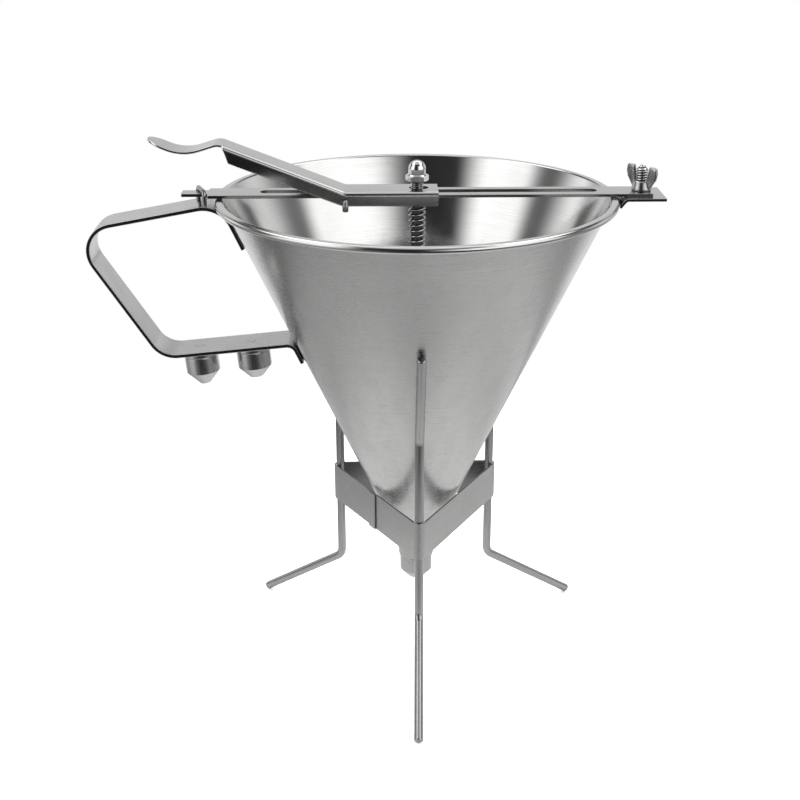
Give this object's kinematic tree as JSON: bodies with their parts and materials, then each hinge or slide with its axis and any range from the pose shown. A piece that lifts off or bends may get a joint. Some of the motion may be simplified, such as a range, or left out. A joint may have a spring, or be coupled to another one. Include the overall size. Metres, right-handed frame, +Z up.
{
  "type": "sauce dispenser",
  "caption": "Stainless piston funnel in a wire tripod stand, with a strip handle, a clamped cross bar and a thumb lever that lifts a sprung rod to open the outlet.",
  "frame": {"origin": "on the table, on the funnel's axis, midway between the three feet", "axes": "+Z up along the funnel's axis, +X along the cross bar from the handle towards the wing nut, -Y towards the front leg"},
  "size_m": [0.2786, 0.199, 0.2743],
  "materials": {
    "brushed_sheet": "stainless sheet brushed round the cone, bright inside",
    "strip_steel": "satin stainless strip with bright worn edges",
    "wire_steel": "drawn stainless wire",
    "turned_steel": "turned stainless with fine tool marks",
    "polished_steel": "polished stainless"
  },
  "bodies": {
    "stand": {"stand_band": "strip_steel", "stand_leg_front": "wire_steel", "stand_leg_right": "wire_steel", "stand_leg_left": "wire_steel"},
    "funnel": {"funnel_cone": "brushed_sheet", "outlet_collar": "turned_steel", "handle_strip": "strip_steel", "handle_eye": "wire_steel", "nozzle_stud_outer": "turned_steel", "nozzle_stud_inner": "turned_steel", "clamp_bracket": "strip_steel", "clamp_stud": "turned_steel", "crossbar": "strip_steel", "hinge_saddle": "strip_steel", "hinge_pin": "wire_steel", "return_spring": "polished_steel"},
    "lever": {"thumb_lever": "strip_steel"},
    "piston": {"piston_rod": "turned_steel", "cap_nut": "polished_steel", "spring_washer": "turned_steel", "cross_pin": "turned_steel", "valve_plug": "turned_steel"},
    "wing_nut": {"wing_nut": "turned_steel"},
    "nozzle_fitted": {"nozzle_fitted": "turned_steel"},
    "nozzle_outer": {"nozzle_spare_outer": "turned_steel"},
    "nozzle_inner": {"nozzle_spare_inner": "turned_steel"}
  },
  "joints": [
    {"name": "funnel_lift", "type": "slide", "parent": "stand", "child": "funnel", "axis": [0, 0, 1], "range_m": [0, 0.16]},
    {"name": "lever_press", "type": "hinge", "parent": "funnel", "child": "lever", "pos_m": [-0.0345, 0, 0.24477], "axis": [0, -1, 0], "range_deg": [0, 12]},
    {"name": "piston_lift", "type": "slide", "parent": "funnel", "child": "piston", "axis": [0, 0, 1], "range_m": [0, 0.0055], "stiffness_N_per_m": 40, "springref_m": -0.008, "deforming": ["return_spring"]},
    {"name": "wing_nut_turn", "type": "hinge", "parent": "funnel", "child": "wing_nut", "pos_m": [0.109, 0, 0.25], "axis": [0, 0, 1], "continuous": true},
    {"name": "nozzle_fitted_turn", "type": "hinge", "parent": "funnel", "child": "nozzle_fitted", "pos_m": [0, 0, 0.045], "axis": [0, 0, 1], "continuous": true},
    {"name": "nozzle_outer_turn", "type": "hinge", "parent": "funnel", "child": "nozzle_outer", "pos_m": [-0.10868, 0, 0.16767], "axis": [0.0923, 0, -0.9957], "continuous": true},
    {"name": "nozzle_inner_turn", "type": "hinge", "parent": "funnel", "child": "nozzle_inner", "pos_m": [-0.08259, 0, 0.17008], "axis": [0.0923, 0, -0.9957], "continuous": true}
  ],
  "couplings": [
    {"joint": "lever_press", "follows": "piston_lift", "rad_per_m": 38.023}
  ]
}
